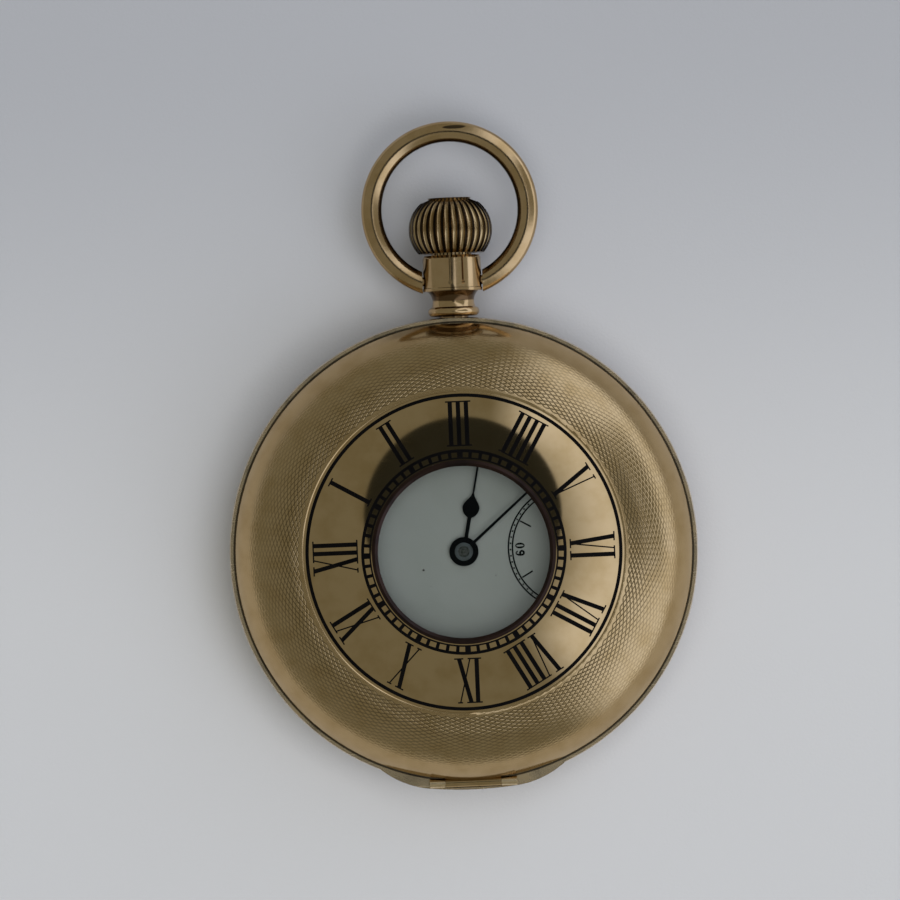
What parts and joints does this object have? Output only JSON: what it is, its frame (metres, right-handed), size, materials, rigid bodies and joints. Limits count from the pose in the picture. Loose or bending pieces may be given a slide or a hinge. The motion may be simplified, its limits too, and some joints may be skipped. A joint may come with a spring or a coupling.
{
  "type": "half hunter pocket watch",
  "caption": "Gold half hunter pocket watch with a hinged windowed front cover, a hinged back, a fluted winding crown and a round bow.",
  "frame": {"origin": "middle of the flat cartouche on the back cover that the watch rests on", "axes": "+Z out of the dial, +Y toward the pendant, crown and bow, +X toward the seconds dial"},
  "size_m": [0.05, 0.0713, 0.0142],
  "materials": {
    "case_gold": "polished gold",
    "engraved_gold": "engine-turned gold",
    "crown_gold": "polished gold",
    "frame_metal": "brown toned",
    "chapter_enamel": "gloss",
    "dial_enamel": "gloss",
    "dial_ink": "gloss",
    "crystal": "clear",
    "blued_steel": "blued",
    "steel": "polished",
    "nickel": "damascened",
    "wheel_brass": "gilt",
    "ruby": "polished"
  },
  "bodies": {
    "case": {"case_band": "case_gold", "pendant": "case_gold", "front_hinge_pin": "case_gold", "back_hinge_pin": "case_gold", "cuvette_hinge_pin": "case_gold", "inner_bezel": "case_gold", "inner_crystal": "crystal", "dial": "dial_enamel", "dial_print": "dial_ink", "main_plate": "nickel", "barrel_bridge": "nickel", "train_bridge": "nickel", "balance_cock": "nickel", "pallet_bridge": "nickel", "plate_jewels": "ruby", "bridge_jewels": "ruby", "movement_screws": "steel", "case_screws": "steel", "spring_screws": "steel", "click_spring": "steel", "regulator": "steel", "hairspring": "blued_steel", "setting_lever": "steel", "lift_spring": "steel"},
    "front_cover": {"front_cover": "engraved_gold", "chapter_numerals": "chapter_enamel", "chapter_track": "chapter_enamel", "window_bezel": "frame_metal", "window_glass": "crystal"},
    "back_cover": {"back_cover": "case_gold"},
    "cuvette": {"cuvette": "case_gold"},
    "bow": {"bow": "case_gold"},
    "winding": {"winding_pinion": "steel", "sliding_pinion": "steel"},
    "stem": {"winding_stem": "steel"},
    "crown": {"crown": "crown_gold", "crown_sleeve": "steel"},
    "lock_spring": {"lock_spring": "steel"},
    "crown_wheel": {"crown_wheel": "steel"},
    "ratchet": {"ratchet_wheel": "steel", "barrel_arbor": "steel"},
    "click": {"click": "steel"},
    "minute": {"minute_hand": "blued_steel", "cannon_pinion": "steel"},
    "hour": {"hour_hand": "blued_steel", "hour_wheel": "wheel_brass"},
    "minute_wheel": {"minute_wheel": "wheel_brass"},
    "setting_wheel": {"setting_wheel": "wheel_brass"},
    "fourth": {"fourth_wheel": "wheel_brass", "seconds_hand": "blued_steel"},
    "third": {"third_wheel": "wheel_brass"},
    "centre": {"centre_wheel": "wheel_brass"},
    "escape": {"escape_wheel": "wheel_brass"},
    "barrel": {"barrel_drum": "wheel_brass", "barrel_lid": "wheel_brass", "mainspring": "steel"},
    "fork": {"pallet_fork": "steel", "pallet_stones": "ruby"},
    "balance": {"balance_wheel": "wheel_brass"}
  },
  "joints": [
    {"name": "front_cover_hinge", "type": "hinge", "parent": "case", "child": "front_cover", "pos_m": [0, -0.0246, 0.0079], "axis": [1, 0, 0], "range_deg": [0, 80]},
    {"name": "back_cover_hinge", "type": "hinge", "parent": "case", "child": "back_cover", "pos_m": [0, -0.02482, 0.0039], "axis": [-1, 0, 0], "range_deg": [0, 100]},
    {"name": "cuvette_hinge", "type": "hinge", "parent": "case", "child": "cuvette", "pos_m": [0, -0.02342, 0.00344], "axis": [-1, 0, 0], "range_deg": [0, 70]},
    {"name": "bow_swing", "type": "hinge", "parent": "case", "child": "bow", "pos_m": [0, 0.0289, 0.0055], "axis": [1, 0, 0], "range_deg": [-85, 85]},
    {"name": "winding_spin", "type": "hinge", "parent": "case", "child": "winding", "pos_m": [0, 0.013, 0.0055], "axis": [0, 1, 0], "continuous": true},
    {"name": "stem_pull", "type": "slide", "parent": "winding", "child": "stem", "axis": [0, 1, 0], "range_m": [0, 0.001]},
    {"name": "crown_press", "type": "slide", "parent": "stem", "child": "crown", "axis": [0, -1, 0], "range_m": [0, 0.0002], "stiffness_N_per_m": 500},
    {"name": "lock_spring_release", "type": "hinge", "parent": "case", "child": "lock_spring", "pos_m": [0.01725, 0.013, 0.005], "axis": [0, 0, 1], "range_deg": [0, 1.1]},
    {"name": "crown_wheel_spin", "type": "hinge", "parent": "case", "child": "crown_wheel", "pos_m": [0, 0.00904, 0.0029], "axis": [0, 0, 1], "continuous": true},
    {"name": "ratchet_spin", "type": "hinge", "parent": "case", "child": "ratchet", "pos_m": [-0.00857, 0.00495, 0.0029], "axis": [0, 0, 1], "continuous": true},
    {"name": "click_swing", "type": "hinge", "parent": "case", "child": "click", "pos_m": [-0.00705, -0.00224, 0.0029], "axis": [0, 0, 1], "range_deg": [0, 6]},
    {"name": "minute_spin", "type": "hinge", "parent": "case", "child": "minute", "pos_m": [0, 0, 0.01], "axis": [0, 0, 1], "continuous": true},
    {"name": "hour_spin", "type": "hinge", "parent": "case", "child": "hour", "pos_m": [0, 0, 0.01], "axis": [0, 0, 1], "continuous": true},
    {"name": "minute_wheel_spin", "type": "hinge", "parent": "case", "child": "minute_wheel", "pos_m": [-0.00203, 0.00435, 0.0087], "axis": [0, 0, 1], "continuous": true},
    {"name": "setting_wheel_spin", "type": "hinge", "parent": "case", "child": "setting_wheel", "pos_m": [-0.0001, 0.00961, 0.0087], "axis": [0, 0, 1], "continuous": true},
    {"name": "fourth_spin", "type": "hinge", "parent": "case", "child": "fourth", "pos_m": [0.0113, 0, 0.0055], "axis": [0, 0, 1], "continuous": true},
    {"name": "third_spin", "type": "hinge", "parent": "case", "child": "third", "pos_m": [0.00638, -0.00334, 0.0055], "axis": [0, 0, 1], "continuous": true},
    {"name": "centre_spin", "type": "hinge", "parent": "case", "child": "centre", "pos_m": [0, 0, 0.0055], "axis": [0, 0, 1], "continuous": true},
    {"name": "escape_spin", "type": "hinge", "parent": "case", "child": "escape", "pos_m": [0.0124, -0.00516, 0.0055], "axis": [0, 0, 1], "continuous": true},
    {"name": "barrel_spin", "type": "hinge", "parent": "case", "child": "barrel", "pos_m": [-0.00857, 0.00495, 0.0055], "axis": [0, 0, 1], "continuous": true},
    {"name": "fork_swing", "type": "hinge", "parent": "case", "child": "fork", "pos_m": [0.00911, -0.00842, 0.0062], "axis": [0, 0, 1], "range_deg": [-4, 4]},
    {"name": "balance_swing", "type": "hinge", "parent": "case", "child": "balance", "pos_m": [0.006, -0.0115, 0.005], "axis": [0, 0, 1], "range_deg": [-135, 135], "stiffness_Nm_per_rad": 0.000006, "deforming": ["hairspring"]}
  ],
  "couplings": [
    {"joint": "cuvette_hinge", "follows": "back_cover_hinge", "ratio": 0.7},
    {"joint": "lock_spring_release", "follows": "crown_press", "rad_per_m": 87.5},
    {"joint": "crown_wheel_spin", "follows": "winding_spin", "ratio": 0.5625},
    {"joint": "ratchet_spin", "follows": "winding_spin", "ratio": -0.40909},
    {"joint": "hour_spin", "follows": "minute_spin", "ratio": 0.083333},
    {"joint": "minute_wheel_spin", "follows": "minute_spin", "ratio": -0.33333},
    {"joint": "setting_wheel_spin", "follows": "minute_spin", "ratio": 0.6},
    {"joint": "third_spin", "follows": "fourth_spin", "ratio": -0.13333},
    {"joint": "centre_spin", "follows": "fourth_spin", "ratio": 0.016667},
    {"joint": "escape_spin", "follows": "fourth_spin", "ratio": -10},
    {"joint": "barrel_spin", "follows": "fourth_spin", "ratio": -0.0020833}
  ]
}
